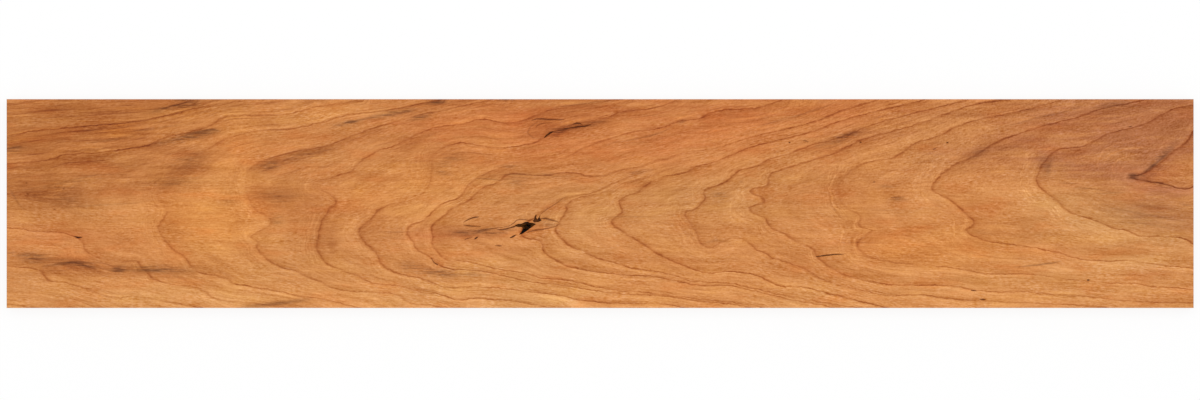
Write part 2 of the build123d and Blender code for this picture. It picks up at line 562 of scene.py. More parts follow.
# Each crack: its points, half its width, how dark it is (its own colour, and painted shade inside a crack),
# how deep it goes, and where it is widest
cracks = [
    ([(548.4, 91.8), (553.5, 92.0), (559.2, 90.4), (563.8, 89.2), (567.8, 87.6)], 1.2, 0.62, 0.15, 0.3),
    ([(533, 77.2), (538.7, 78.9), (544.4, 80.1), (551.2, 80.8), (558, 82.3), (563.8, 83.8),
      (567.8, 86.3)], 1.0, 0.58, 0.15, 0.3),
    ([(547.5, 95.2), (551, 98.4), (554.6, 101.2), (560.3, 104.6), (566, 108.6), (571.8, 113.1),
      (576, 114.8)], 0.6, 0.52, 0.2, 0.3),
    ([(523, 84.1), (518.1, 82.6), (513.6, 81.4), (508.4, 80.4), (503, 80.4)], 0.85, 0.85, 0.3, 0.1),
    ([(508, 82.9), (503, 82), (496, 81), (488, 80.3), (480, 79.2)], 0.7, 0.55, 0.15, 0.3),
    ([(502, 82.3), (509, 82.9), (515.8, 84), (520.4, 86.9), (523.8, 90), (527.3, 90.9), (531.8, 90.7),
      (536.4, 90), (539.8, 90.8), (542.4, 93)], 0.65, 0.62, 0.15, 0.7),
    ([(486.2, 75.5), (493, 77.2), (498.7, 76.6), (504, 76.4)], 0.55, 0.45, 0.1, 0.4),
    ([(468.6, 87.6), (474.2, 90.9), (479.3, 92.8), (485, 93.6)], 0.75, 0.8, 0.3, 0.85),
    ([(468.6, 85.3), (474.8, 84.3), (480.5, 83.8), (487, 83.3)], 0.65, 0.75, 0.3, 0.3),
    ([(469.8, 70), (474.2, 71.5), (478.4, 72.7)], 0.6, 0.65, 0.2, 0.3),
    ([(480.2, 70.5), (484.2, 73.1)], 0.9, 0.9, 0.3, 0.5),
    ([(516.6, 71.7), (519.8, 73.2), (523, 74.9)], 0.9, 1.0, 0.4, 0.5),
    ([(502, 64.1), (509.4, 63.7)], 0.8, 0.65, 0.2, 0.5),
    ([(435.5, 51.7), (439, 46.6), (443.5, 43.8)], 0.75, 0.75, 0.3, 0.85),
    ([(552, 174.7), (555.2, 177.6), (558, 179.6), (561.6, 181.2)], 1.1, 1.0, 0.6, 0.5),
    ([(561.5, 181.2), (567, 182.2), (573, 183), (579.7, 185)], 1.1, 0.6, 0.2, 0.5),
    ([(572, 184.2), (579.7, 185), (586.6, 186.1), (593.4, 186.4), (601.4, 189)], 0.9, 0.74, 0.3, 0.5),
    ([(581.6, 188.8), (585.4, 189.9), (588.9, 189.6), (591.6, 187.8)], 0.8, 0.8, 0.2, 0.4),
    ([(538.5, 192.4), (544.4, 194.1), (550, 194.2), (556.9, 193.6), (566, 193.5),
      (574, 193.2)], 1.3, 0.62, 0.1, 0.35),
    ([(543, 185.2), (545.5, 187.8), (548.9, 189.3), (554.6, 190.2), (562.6, 190.4)], 0.8, 0.45, 0.1, 0.2),
    ([(562, 176.1), (569, 176.2)], 0.6, 0.5, 0.1, 0.5),
    ([(829.5, 52.3), (839.4, 53.8), (849.7, 54.9), (863, 55.4)], 0.7, 1.0, 0.4, 0.38),
    ([(908, 113.4), (912, 113.7), (924, 113.9)], 0.6, 0.6, 0.2, 0.25),
    ([(817.5, 172.2), (821, 171.4), (824, 170.4)], 0.6, 0.65, 0.2, 0.5),
    ([(999, 8.9), (1006, 8.7)], 0.8, 0.85, 0.2, 0.5),
    ([(990, 18.2), (996, 17.5)], 0.75, 0.8, 0.2, 0.5),
    ([(802.8, 170), (805.2, 170)], 0.75, 0.85, 0.3, 0.5),
    ([(875.8, 170.3), (878.4, 169.9)], 0.75, 0.8, 0.3, 0.5),
    ([(964.8, 169.8), (967.4, 169.8)], 0.75, 0.85, 0.3, 0.5),
    ([(951, 162.7), (955, 163.8)], 0.6, 0.7, 0.3, 0.5),
    ([(889.5, 129.2), (892.5, 129.4)], 0.75, 0.65, 0.2, 0.5),
    ([(1109, 28.6), (1112.5, 28.6)], 0.85, 0.9, 0.2, 0.5),
    ([(1152, 186), (1156, 186.4)], 0.7, 0.7, 0.2, 0.5),
    ([(69.5, 73.4), (73.4, 72.4), (77.5, 72.6)], 1.0, 0.9, 0.3, 0.45),
    ([(19, 128.3), (21.5, 128.3)], 0.6, 0.6, 0.2, 0.5),
    ([(20.2, 117.4), (23, 116.6)], 0.6, 0.6, 0.2, 0.5),
    ([(57.2, 122.2), (60, 122.2)], 0.6, 0.6, 0.2, 0.5),
    ([(47.5, 101.2), (51, 101.2)], 0.6, 0.55, 0.2, 0.5),
]

# Splinters of sound wood that stand in the knots: points and half width
splinters = [
    ([(526, 88.7), (531, 89.4), (536, 89.1), (541, 88.0)], 0.7),
    ([(527.6, 82.4), (528.6, 80.2), (527.2, 77.8)], 0.9),
    ([(544.9, 91.6), (545.3, 96.4)], 0.7),
    ([(585.2, 188.2), (590.4, 187.7)], 0.6),
]
print("cracks and pocket marks:", len(cracks), "and splinters:", len(splinters))

# %% Cut the net finer near them
crack_reaches = [2.6, 1.3]
knot_reaches = [3.5, 2.5, 1.6]
facing_up = 0.99

# A hair's breadth, to tell what lies in a plane from what doesn't
hair = 0.01


def from_corner(places):
    """Turns mm from the plank's middle into mm from its left end and front edge."""
    return np.asarray(places)[:, :2] + (plank_length / 2, plank_width / 2)


def closed(outline):
    """An outline with its first point again at its end."""
    return np.vstack([outline, outline[:1]])


def near_a_hollow(spots, fine_round):
    """True for each spot close enough to the knot or to a crack to be cut finer in this round."""
    near = np.zeros(len(spots), bool)
    for outline in (knot_mouth, knot_crown, knot_pit):
        near |= nearest_on(closed(outline), spots)[0] < knot_reaches[fine_round]
    if fine_round < len(crack_reaches):
        for line, half_width, darkness, depth, widest in cracks:
            near |= nearest_on(line, spots)[0] < half_width + crack_reaches[fine_round]
    return near


net = bmesh.new()
net.from_mesh(plank_mesh)
for fine_round in range(len(knot_reaches)):
    upper_faces = [face for face in net.faces if face.normal.z > facing_up]
    middles = from_corner([(face.calc_center_median() / MM)[:2] for face in upper_faces])
    chosen = near_a_hollow(middles, fine_round)
    edges = {edge for face, wanted in zip(upper_faces, chosen) if wanted for edge in face.edges}
    bmesh.ops.subdivide_edges(net, edges=list(edges), cuts=1, use_grid_fill=True)
net.to_mesh(plank_mesh)
net.free()

skin = np.empty(len(plank_mesh.vertices) * 3)
plank_mesh.vertices.foreach_get("co", skin)
skin = skin.reshape(-1, 3) / MM
spots = from_corner(skin)
on_face = skin[:, 2] > plank_thickness - hair
print("finer net:", len(skin), "points,", on_face.sum(), "of them on the face")

# %% Push the hollows down and note how dark they are, in their own colour and in painted shade
wall_width = 0.8
pit_wall = 1.8
worn_rim = 0.2
darkening_rim = 0.5
darkening_wall = 0.9
mouth_darkness = 0.97
crown_darkness = 0.8
thinnest_share = 0.15

# How much of the hollow and of its darkening, own colour and painted shade, a splinter takes away
splinter_lift = 0.8
splinter_clean = 0.95


def ease(share):
    """A smooth rise from 0 to 1."""
    share = np.clip(share, 0, 1)
    return share * share * (3 - 2 * share)


def inside_by(outline, places):
    """How far each spot is inside a closed outline, negative outside."""
    away = nearest_on(closed(outline), places)[0]
    return np.where(is_inside(outline, places), away, -away)


def swell(along, widest):
    """How wide a mark is on its way: it tapers from its widest place to both ends."""
    share = np.where(along < widest, along / widest, (1 - along) / (1 - widest))
    return np.sqrt(np.clip(share, 0, 1))


face_spots = spots[on_face]
mouth_in = inside_by(knot_mouth, face_spots)
crown_in = inside_by(knot_crown, face_spots)
pit_in = inside_by(knot_pit, face_spots)
hollow = knot_mouth_depth * ease((mouth_in + worn_rim) / wall_width)
hollow += (knot_pit_depth - knot_mouth_depth) * ease(pit_in / pit_wall)
hollow = np.maximum(hollow, knot_crown_depth * ease((crown_in + worn_rim) / wall_width))
# Dark in the knot: partly the dead knot's own colour, partly painted shade inside the hole
mouth_dark_and_shade = mouth_darkness * ease((mouth_in + darkening_rim) / darkening_wall)
crown_dark_and_shade = crown_darkness * ease(crown_in + darkening_rim)
dark_and_shade = np.maximum(mouth_dark_and_shade, crown_dark_and_shade)
# Dark along the cracks and gum pockets: the gum's own colour, and painted shade inside the cracks
for line, half_width, darkness, depth, widest in cracks:
    away, along = nearest_on(line, face_spots)[:2]
    width_here = half_width * np.maximum(swell(along, widest), thinnest_share)
    fill = np.exp(-((away / width_here) ** 2))
    hollow = np.maximum(hollow, depth * fill)
    dark_and_shade = np.maximum(dark_and_shade, darkness * fill)
for line, half_width in splinters:
    away = nearest_on(line, face_spots)[0]
    sound = np.exp(-((away / half_width) ** 4))
    hollow *= 1 - splinter_lift * sound
    dark_and_shade *= 1 - splinter_clean * sound
skin[on_face, 2] -= hollow
plank_mesh.vertices.foreach_set("co", (skin * MM).ravel())
plank_mesh.update()
print("deepest hollow in mm:", round(float(hollow.max()), 2))

# %% [markdown]
# ## Rings through the whole thickness
# The ends and edges have to show the same rings as the face. The heart of the tree lies some 18 cm below
# the face, so going down is going towards the heart, and the ring number grows with the distance gained.
# The ends then show flat arcs that meet the face's lines at the arris, as in real wood.

# %% Ring numbers and line distances on every point
heart_depth = 176.0
ring_width = 4.3
heart_at_left = 80.0
heart_drift = 0.045
rim_drop = arris * 0.9

gaps, leans = ring_gaps(spots)
slants = np.abs(np.sin(np.radians(leans)))
face_ring, band = ring_numbers(gaps)
sideways = spots[:, 1] - (heart_at_left + heart_drift * spots[:, 0])
below = np.where(on_face, 0.0, plank_thickness - skin[:, 2])
to_heart = np.hypot(heart_depth - below, sideways)
skin_ring = face_ring + (np.hypot(heart_depth, sideways) - to_heart) / ring_width
steepness = (heart_depth - below) / to_heart / ring_width
upper = (skin[:, 2] > plank_thickness - rim_drop) | on_face
is_side = (skin[:, 2] < plank_thickness - rim_drop) & (skin[:, 2] > rim_drop)
ring_spread = 1 / np.hypot(1 / band, np.where(is_side, steepness, 0))
print("ring numbers on the face:", round(float(face_ring.min()), 2), "to", round(float(face_ring.max()), 2))

# %% The nearest line, its darkness and the lean of the fibres
order = np.array(list(ring_curves))
every = np.arange(len(spots))
nearest_line = np.abs(gaps).argmin(0)
line_slant = slants[nearest_line, every]
even_rows, odd_rows = gaps[order % 2 == 0], gaps[order % 2 == 1]
gap_even = even_rows[np.abs(even_rows).argmin(0), every]
gap_odd = odd_rows[np.abs(odd_rows).argmin(0), every]
line_mark = np.array([ring_darkness[number] for number in order])[nearest_line]
for number, touches in ring_touches.items():
    on_this_line = order[nearest_line] == number
    for along, across, reach, dark in touches:
        from_touch = np.hypot(spots[:, 0] - along, spots[:, 1] - across)
        line_mark += np.exp(-((from_touch / reach) ** 2)) * on_this_line * (dark - line_mark)

# The fibres lean with the rings on their flanks, and lie straight between the tips
lean_reach = 24.0
lean_most_down, lean_most_up = -14, 24
pull_of_the_length = 0.15
nearness = np.exp(-((gaps / lean_reach) ** 2)) * (1 - slants) ** 2
lean_sum = (nearness * np.clip(leans, lean_most_down, lean_most_up)).sum(0)
lean_here = lean_sum / (nearness.sum(0) + pull_of_the_length)
print("fibres lean from", lean_here.min().round(1), "to", lean_here.max().round(1), "degrees")

# %% [markdown]
# ## Thin streaks
# Some lines on the face aren't rings: gum streaks, mineral stains and bruises that cross the rings or end
# in the middle of them. Each is a line with a width and a strength, and a negative strength is a pale
# line. The skin keeps the distance to the nearest one, counted in half widths, so the finish can draw a
# line much thinner than a cell. Lines that run close together go on three sheets, to keep them apart.

# %% Streaks on three sheets
# Each streak: its points, half its width, its strength, and where along it is strongest
streak_sheets = {
    "streak_a": [
        ([(151, 169), (165, 172), (178, 175.5), (199, 180), (218, 181.7)], 2.4, 0.45, 0.85),
        ([(157, 204.2), (170, 207.4), (187, 211)], 0.9, 0.85, 0.6),
        ([(0, 56.3), (11, 57.4)], 0.8, 0.6, 0.3),
        ([(93, 40), (110, 38.8), (135, 38), (164, 37.4), (194, 38)], 1.0, 0.6, 0.6),
        ([(10, 54), (18, 55.4), (27, 55.6), (38, 52.5)], 1.1, 0.6, 0.5),
        ([(80, 169), (95, 171), (115, 173.5), (133, 176.5)], 0.8, 0.55, 0.6),
        ([(240, 0.8), (260, 2.8), (279, 4.6), (296, 6.8), (314, 9.4)], 2.0, 0.9, 0.5),
        ([(479, 133), (494, 132.6), (508, 131)], 0.7, 0.7, 0.5),
        ([(605, 162), (622, 169.4), (640, 172.5), (661, 176.6), (675, 181.7), (689, 188.5)], 0.8, 0.5, 0.7),
        ([(1034, 41.7), (1057, 44), (1074, 46.2), (1084, 48.5)], 0.8, 0.95, 0.65),
        ([(1080, 128.9), (1100, 127.2)], 0.6, 0.5, 0.5),
        ([(30, 130.5), (61, 130.3), (92, 136.5), (124, 137.5)], 0.9, 0.4, 0.5),
        ([(712, 65.5), (728, 69.5), (745, 67.5)], 1.5, 0.4, 0.5),
        ([(1129, 143), (1127.4, 150.7), (1133.4, 158.3), (1147, 162.8), (1162, 164.3),
          (1178, 167)], 0.7, -0.95, 0.4),
        ([(1147, 134), (1144, 141.7), (1148.6, 147.7), (1156, 150.7), (1164, 150.7)], 0.7, -0.7, 0.5),
        ([(1069, 134), (1070, 145), (1075, 155)], 2.2, 0.4, 0.5),
        ([(1151, 136.2), (1162, 134.3)], 2.4, 0.85, 0.5),
        ([(533.8, 93), (533.8, 99), (537.5, 102.5)], 0.6, -0.7, 0.5),
        ([(560, 205), (590, 209.5), (620, 213)], 0.7, 0.45, 0.5),
        ([(880, 101), (905, 100.4), (930, 100.8)], 0.5, 0.3, 0.5),
        ([(610, 93.3), (640, 93.6), (672, 93.2)], 0.5, 0.35, 0.4),
        ([(843, 66.8), (870, 67.2), (905, 66.6)], 0.5, 0.4, 0.5),
        ([(334, 186), (353, 191), (370, 194.5), (384, 197), (402, 200.5)], 1.1, 0.6, 0.5),
        ([(742, 175), (770, 185), (798, 194.5), (815, 198.3), (840, 206.5), (856, 213.5)], 0.7, 0.45, 0.8),
        ([(2, 124.5), (7, 116), (13, 105.7), (18.5, 99.7)], 1.1, 0.4, 0.4),
        ([(1160, 134), (1170, 140.5), (1181, 149), (1190, 157), (1199, 165)], 1.5, 1.0, 0.4),
        ([(128, 181.2), (146.6, 183.2), (163.7, 186.3), (181, 188)], 0.8, 0.5, 0.4),
    ],
    "streak_b": [
        ([(183, 178), (200, 182), (212, 183.4), (219.5, 181.7)], 1.0, 1.0, 0.8),
        ([(170, 213.2), (198, 213.4)], 1.0, 0.85, 0.5),
        ([(36, 43), (50, 44.6), (62.7, 46.2), (72, 46), (81, 44), (93, 40.6)], 1.3, 0.95, 0.55),
        ([(1138, 135.6), (1135, 144.7), (1141, 152.2), (1153, 156.8), (1169, 158.3)], 0.7, -0.95, 0.4),
        ([(1122, 140), (1120, 150), (1126, 162), (1140, 169), (1160, 172)], 0.7, -0.8, 0.5),
        ([(34, 122.8), (56, 123.7), (72, 123.7)], 0.8, 0.5, 0.5),
        ([(55, 103), (95, 105.7), (130, 107.5), (153, 111.7)], 0.9, 0.4, 0.4),
        ([(10, 119.5), (55, 128.3), (104, 133.5)], 0.9, 0.4, 0.5),
        ([(689, 190), (699, 192.8)], 1.6, 0.7, 0.5),
        ([(1096, 124.3), (1118, 122), (1141, 118)], 0.6, 0.4, 0.4),
        ([(436, 210), (453, 212.2)], 1.8, 0.65, 0.5),
        ([(502, 213.4), (523, 213.4)], 1.1, 0.75, 0.5),
        ([(0, 163.5), (16, 166)], 1.6, 0.5, 0.2),
        ([(270, 108.5), (300, 110.5)], 0.7, 0.4, 0.5),
        ([(1202, 107.5), (1219, 104.5)], 0.8, 0.4, 0.6),
        ([(1012, 184), (1040, 190), (1060, 195.8), (1090, 202), (1118, 213)], 0.8, 0.4, 0.5),
        ([(1036, 121), (1052, 119.5), (1066, 120.5)], 0.6, -0.5, 0.5),
        ([(380, 78.5), (400, 78), (420, 78.4)], 0.7, 0.4, 0.5),
        ([(752, 129.5), (757, 129.2)], 0.8, 0.5, 0.5),
        ([(848, 100.8), (853, 100.4)], 0.8, 0.5, 0.5),
    ],
    "streak_c": [
        ([(554.6, 193.5), (545, 191), (537.5, 186), (534.8, 180), (541, 174.2),
          (551, 174.8)], 0.7, 0.5, 0.5),
        ([(1118, 117.5), (1133, 117.8), (1149, 118.8)], 0.6, 0.5, 0.5),
        ([(1092, 122.6), (1104, 122.2), (1114, 123)], 0.6, 0.4, 0.5),
        ([(1132, 103), (1158, 98), (1188, 93), (1214, 88)], 0.9, 0.35, 0.4),
        ([(1140, 88.5), (1172, 86), (1204, 80)], 0.8, 0.3, 0.5),
        ([(1155, 134), (1169, 131), (1190, 127), (1201, 123.5), (1210, 122.3),
          (1218, 123.5)], 1.0, 0.6, 0.4),
    ],
}
print("streaks:", {name: len(streaks) for name, streaks in streak_sheets.items()})

# %% Distance to the nearest streak
far_in_half_widths = 8.0
streak_reach = 7.0


def streak_field(streaks):
    """Signed distance to the nearest streak in half widths, and its strength, all over the skin."""
    nearest = np.full(len(spots), far_in_half_widths)
    signed = np.full(len(spots), far_in_half_widths)
    strength = np.zeros(len(spots))
    for line, half_width, dark, widest in streaks:
        away, along, side = nearest_on(line, spots)[:3]
        share = away / half_width
        closer = (share < nearest) & (away < streak_reach)
        nearest[closer] = share[closer]
        signed[closer] = (side * share)[closer]
        strength[closer] = dark * swell(along, widest)[closer]
    return signed, strength


streak_fields = {name: streak_field(streaks) for name, streaks in streak_sheets.items()}
for name, (signed, strength) in streak_fields.items():
    print(name, "touches", int((strength != 0).sum()), "points of the skin")

# %% [markdown]
# ## Stains and changes of colour
# Cherry is never one colour. The left end is brown with a golden field beside it, a broad blush crosses the
# top from the closed knot on, the right end is plum, the lower edge is paler, the middle is ashen in parts,
# and smoky smudges follow the grain. Each is a soft patch, mostly longer than wide: its place, half length,
# half width, tilt and strength. The first were given one by one. Later ones were put, and some earlier ones
# changed, where the colour came out furthest from the real board's colour.

# %% Soft patches
stains = {
    "pale": [
        (250, 8, 260, 24, 0, 0.85), (215, 3, 40, 8, 0, 0.5), (130, 20, 75, 14, -4, 0.5),
        (510, 4, 60, 14, 0, 0.4), (560, 6, 200, 26, 0, 0.9), (800, 6, 120, 24, 0, 0.5),
        (1000, 12, 150, 26, 0, 0.85), (1180, 40, 110, 30, 0, 0.75), (1078, 102, 95, 19, -17, 0.65),
        (950, 112, 45, 25, 0, 0.35), (605, 76, 90, 22, -6, 0.3), (760, 75, 120, 25, 0, 0.3),
        (320, 48, 40, 9, -8, 0.3), (350, 9, 170, 15, 0, 0.25), (560, 10, 70, 14, 0, 0.25),
        (45, 62, 45, 12, 0, 0.3), (480, 43, 30, 3.2, -4, 0.8), (45, 86, 48, 8, 0, 0.5),
        (85, 202.5, 14, 1.6, 3, 0.6), (12, 205, 9, 5, 0, 0.4), (112, 190, 5, 3, 0, 0.5),
        (160, 200, 16, 3, 8, 0.4), (8, 152, 7, 5, 0, 0.4), (340, 202, 44, 8, 8, 0.95),
        (459, 201, 22, 8, 10, 0.4), (388, 203, 20, 6, 8, 0.45), (450, 58, 30, 8, -6, 0.85),
        (388, 44, 34, 14, -6, 0.5), (500, 37, 34, 9, -6, 0.8), (718, 37, 34, 9, -4, 0.45),
        (92, 160, 20, 8, 4, 0.9), (878, 78, 18, 9, 0, 0.45), (262, 37, 18, 9, -20, 0.75),
        (890, 202, 30, 8, 10, 0.4), (1130, 119, 30, 8, 0, 0.35), (509, 17, 24, 9, 0, 1.1),
        (41, 57, 20, 8, 0, 0.4), (558, 57, 18, 8, -10, 0.4), (1002, 57, 20, 9, -6, 0.4),
        (1002, 119, 20, 9, -8, 0.35),
    ],
    "gold": [
        (215, 90, 52, 44, 0, 1.0), (235, 165, 30, 40, 0, 0.45), (432, 128, 62, 32, 10, 0.55),
        (150, 92, 60, 22, 0, 0.25), (965, 62, 75, 22, 0, 0.6), (908, 62, 38, 14, 0, 0.35),
        (255, 196, 60, 13, 5, 0.2), (20, 175, 25, 6, 5, 0.3), (114, 181, 18, 7, 6, 1.0),
        (188, 201, 18, 8, 6, 0.6), (332, 203, 30, 8, 8, 0.4), (361, 119, 20, 13, 0, 0.5),
    ],
    "brown": [
        (35, 117, 44, 14, -6, 1.0), (70, 178, 125, 12, 6, 0.62), (45, 203, 100, 14, 4, 0.6),
        (50, 188, 130, 34, 5, 0.5), (80, 150, 130, 22, 5, 0.38), (152, 209, 48, 8, 6, 0.65),
        (65, 152, 85, 10, 5, 0.6), (178, 142, 38, 11, 14, 0.4), (322, 72, 13, 24, 5, 0.55),
        (283, 115, 34, 9, 0, 0.45), (285, 150, 36, 9, 16, 0.4), (345, 170, 42, 8, 17, 0.4),
        (428, 207, 32, 8, 12, 0.55), (115, 44, 110, 7, -5, 0.5), (472, 78, 30, 7, 0, 0.45),
        (575, 185, 48, 9, 8, 0.7), (450, 40, 62, 7, -6, 0.25), (530, 136, 42, 5, 0, 0.4),
        (272, 3, 40, 6, 5, 0.5), (862, 172, 38, 9, 16, 0.4), (991, 157, 18, 6, 25, 0.35),
        (600, 209, 640, 15, 0, 0.3), (380, 78, 20, 14, 0, 0.3), (560, 206, 60, 12, 5, 0.3),
        (330, 132, 60, 8, 3, 0.25), (458, 150, 42, 14, 8, 0.15), (545, 106, 40, 16, 0, 0.3),
        (660, 205, 110, 14, 0, 0.15), (250, 62, 9, 20, 25, 0.3), (52, 37, 34, 8, -4, 0.5),
        (413, 170, 44, 19, 12, 0.45), (180, 140, 62, 10, 4, 0.42), (132, 120, 32, 10, 0, 0.4),
        (558, 181, 18, 8, 5, 0.5), (300, 98, 28, 9, 0, 0.35), (695, 181, 30, 9, 8, 0.35),
        (755, 202, 26, 8, 8, 0.3), (422, 16, 30, 8, -4, 0.35), (706, 15, 20, 8, -4, 0.3),
        (706, 119, 20, 10, 0, 0.2), (533, 57, 18, 8, -15, 0.3), (238, 201, 40, 8, 5, 0.25),
        (842, 130, 34, 13, 25, 0.3), (706, 78, 16, 9, 0, 0.3), (435, 150, 14, 18, 0, 0.3),
        (1150, 181, 22, 9, 10, 0.15), (706, 160, 20, 9, 8, 0.15), (287, 37, 18, 8, -18, 0.35),
        (607, 140, 20, 8, 8, 0.3), (172, 78, 28, 9, 0, 0.3), (366, 80, 7, 13, 0, 0.35),
        (335, 66, 6, 9, 0, 0.5), (115, 37, 60, 5, -3, 0.45), (1000, 78, 14, 5, -10, 0.2),
    ],
    "plum": [
        (1185, 198, 90, 34, 0, 1.0), (1175, 158, 60, 17, 25, 0.8), (1055, 186, 65, 32, 10, 0.5),
        (1090, 160, 45, 14, 10, 0.4), (1138, 208, 38, 9, 5, 0.5), (1203, 162, 20, 11, 35, 0.35),
        (1150, 181, 26, 10, 10, 1.0), (1100, 142, 22, 10, 0, 0.45), (952, 160, 20, 9, 18, 0.3),
        (1174, 37, 22, 9, 0, 0.3), (1100, 201, 26, 9, 8, 0.35), (1172, 98, 48, 12, -6, 0.5),
        (1190, 121, 36, 10, 0, 1.0), (1150, 140, 26, 9, 0, 0.35), (1219, 90, 45, 30, 0, 0.25),
        (455, 78, 45, 8, 0, 0.3), (60, 75, 55, 7, -5, 0.2), (1065, 144, 9, 13, 0, 0.5),
        (930, 192, 80, 18, 12, 0.3), (1020, 165, 40, 14, 24, 0.15), (985, 150, 65, 15, 10, 0.3),
        (1140, 150, 75, 18, 0, 0.3), (1165, 134, 18, 8, 10, 0.5),
    ],
    "blush": [
        (480, 188, 110, 26, 6, 0.75), (578, 186, 30, 8, 8, 0.4), (600, 186, 110, 28, 6, 0.85),
        (730, 190, 120, 26, 8, 0.8), (860, 196, 90, 24, 10, 0.5), (690, 160, 70, 16, 8, 0.4),
        (540, 150, 50, 14, 0, 0.4), (430, 75, 18, 8, 0, 0.8), (882, 68, 40, 14, 0, 0.45),
        (40, 64, 50, 10, 0, 0.3), (1120, 128, 40, 10, 0, 0.3), (1202, 142, 22, 12, 12, 0.7),
        (1060, 57, 50, 7, -6, 0.5), (470, 78, 30, 6, 0, 0.4), (35, 80, 60, 8, 0, 0.2),
    ],
    "ash": [
        (1185, 72, 45, 32, 0, 0.5), (1120, 95, 70, 34, -10, 0.7), (640, 105, 90, 40, 0, 0.5),
        (760, 110, 90, 30, 0, 0.5), (540, 8, 50, 14, 0, 0.5),
    ],
    "smoke": [
        (26, 51, 17, 4.5, 0, 0.75), (73, 45.5, 18, 3.2, -5, 1.0), (114.5, 39, 6, 3.4, 0, 1.0),
        (157, 40, 24, 3.2, -1, 0.85), (61, 111, 20, 7, 0, 0.25), (18, 122, 18, 6, -8, 0.12),
        (168, 128, 30, 5.5, 3, 0.35), (188, 151, 18, 11, 10, 0.35), (8, 163, 12, 4, 0, 0.45),
        (192, 177, 22, 2.8, 11, 0.6), (165, 170, 22, 2.4, 10, 0.4), (281, 151, 28, 5, 17, 0.32),
        (268, 146, 10, 5, 0, 0.5), (277, 115, 28, 5, 0, 0.3), (227, 109, 12, 2, 0, 0.35),
        (278, 90, 6, 4, 0, 0.4), (316, 160, 20, 4, 14, 0.22), (350, 190, 15, 2.2, 12, 0.8),
        (390, 198.5, 15, 2.6, 10, 0.8), (408, 202, 12, 2.6, 10, 0.55), (425, 196, 10, 2.6, 12, 0.7),
        (441, 211, 10, 2, 8, 0.6), (447, 138.6, 8, 3, 0, 0.35), (455, 152, 15, 6, 10, 0.35),
        (414, 42, 12, 5, -5, 0.4), (441, 36.5, 22, 3.6, -8, 0.55), (480, 35.5, 22, 3, -4, 0.4),
        (545, 136.5, 45, 2.2, 0, 0.38), (517, 145, 12, 3, 5, 0.3), (523, 130, 12, 5, 0, 0.3),
        (470.5, 77.4, 12, 2.6, 2, 0.8), (489, 79.4, 9, 1.6, 14, 0.7), (565, 181.5, 9, 3, 8, 0.6),
        (585, 186.6, 18, 3.2, 8, 0.45), (606, 190, 10, 2, 12, 0.4), (556, 86.2, 10, 3.4, 4, 0.35),
        (650, 139.5, 12, 1.7, 5, 0.5), (856, 173, 22, 3.2, 17, 0.45), (866, 179.7, 14, 2.2, 15, 0.4),
        (731, 115, 10, 5, 0, 0.35), (916, 111.6, 9, 1.6, 0, 0.5), (906, 125, 10, 1.6, 0, 0.35),
        (507, 78.5, 14, 2.6, 8, 0.6), (998, 159, 12, 4, 28, 0.38), (1066, 147, 6, 9, 0, 0.4),
        (1157, 135.5, 5, 3, 0, 0.7), (1180, 127.5, 16, 3, -12, 0.5), (1187, 156.5, 18, 3.4, 42, 0.6),
        (1164, 95.5, 42, 10, -6, 0.16), (1000, 78, 14, 4, -10, 0.15), (1135, 208, 16, 3, 8, 0.55),
        (186, 209, 16, 2.5, 8, 0.7), (160, 204, 14, 2, 10, 0.5),
    ],
}
print("soft patches:", {name: len(patches) for name, patches in stains.items()})

# %% Fields on the skin
end_skin = 0.05


def stain_strength(patches):
    """Sum of soft patches at every point of the skin."""
    total = np.zeros(len(spots))
    for along, across, half_length, half_width, tilt, strength in patches:
        turn = math.radians(tilt)
        x, y = spots[:, 0] - along, spots[:, 1] - across
        lengthwise = x * math.cos(turn) + y * math.sin(turn)
        crosswise = y * math.cos(turn) - x * math.sin(turn)
        total += strength * np.exp(-((lengthwise / half_length) ** 2) - (crosswise / half_width) ** 2)
    return total


fields = {name: stain_strength(patches) for name, patches in stains.items()}
for name, (signed, strength) in streak_fields.items():
    fields[name + "_gap"] = signed
    fields[name] = strength
# How dark the knot, cracks and gum pockets are: their own colour and painted shade together
fields["dark_and_shade"] = np.zeros(len(spots))
fields["dark_and_shade"][on_face] = dark_and_shade
fields["end_grain"] = (np.abs(skin[:, 0]) > plank_length / 2 - end_skin).astype(float)
fields["upper"] = upper.astype(float)
fields.update(ring=skin_ring, ring_spread=ring_spread, gap_even=gap_even, gap_odd=gap_odd)
fields.update(mark=line_mark, slant=line_slant, fibre_lean=lean_here)
for name, values in fields.items():
    layer = plank_mesh.attributes.new(name, "FLOAT", "POINT")
    layer.data.foreach_set("value", values.astype(np.float32))
print("fields on the skin:", ", ".join(fields))

# %% [markdown]
# ## A flat layout for the bake
# The layout is for baking the board's colours into one square picture. The face is the part that
# matters, so it is laid out as two long strips that take most of the square, with the underside, the edges
# and the ends below them.

# %% Lay the skin out flat
layout = plank_mesh.uv_layers.new(name="OFBake")
corner_points = np.empty(len(plank_mesh.loops), int)
plank_mesh.loops.foreach_get("vertex_index", corner_points)
face_sizes = np.empty(len(plank_mesh.polygons), int)
plank_mesh.polygons.foreach_get("loop_total", face_sizes)
face_middles = np.empty(len(plank_mesh.polygons) * 3)
plank_mesh.polygons.foreach_get("center", face_middles)
face_middles = np.repeat(face_middles.reshape(-1, 3) / MM, face_sizes, axis=0)
places = skin[corner_points]

x, y, z = places.T
girth_whole = plank_thickness + 2 * arris


def girth(out, half_size, height):
    """Distance round the section from the face's rim, over the arris and down the side."""
    proud = np.abs(out) - (half_size - arris)
    from_above = plank_thickness - height + proud
    from_below = girth_whole - height - proud
    return np.where(height > plank_thickness / 2, from_above, from_below)


along_share = x / plank_length + 0.5
across_share = y / plank_width + 0.5
at_end = np.abs(face_middles[:, 0]) > plank_length / 2 - arris
at_edge = (np.abs(face_middles[:, 1]) > plank_width / 2 - arris) & ~at_end
underneath = (face_middles[:, 2] < hair) & ~at_end & ~at_edge
on_right = (face_middles[:, 0] > 0) & ~at_end & ~at_edge & ~underneath
on_left = ~(at_end | at_edge | underneath | on_right)

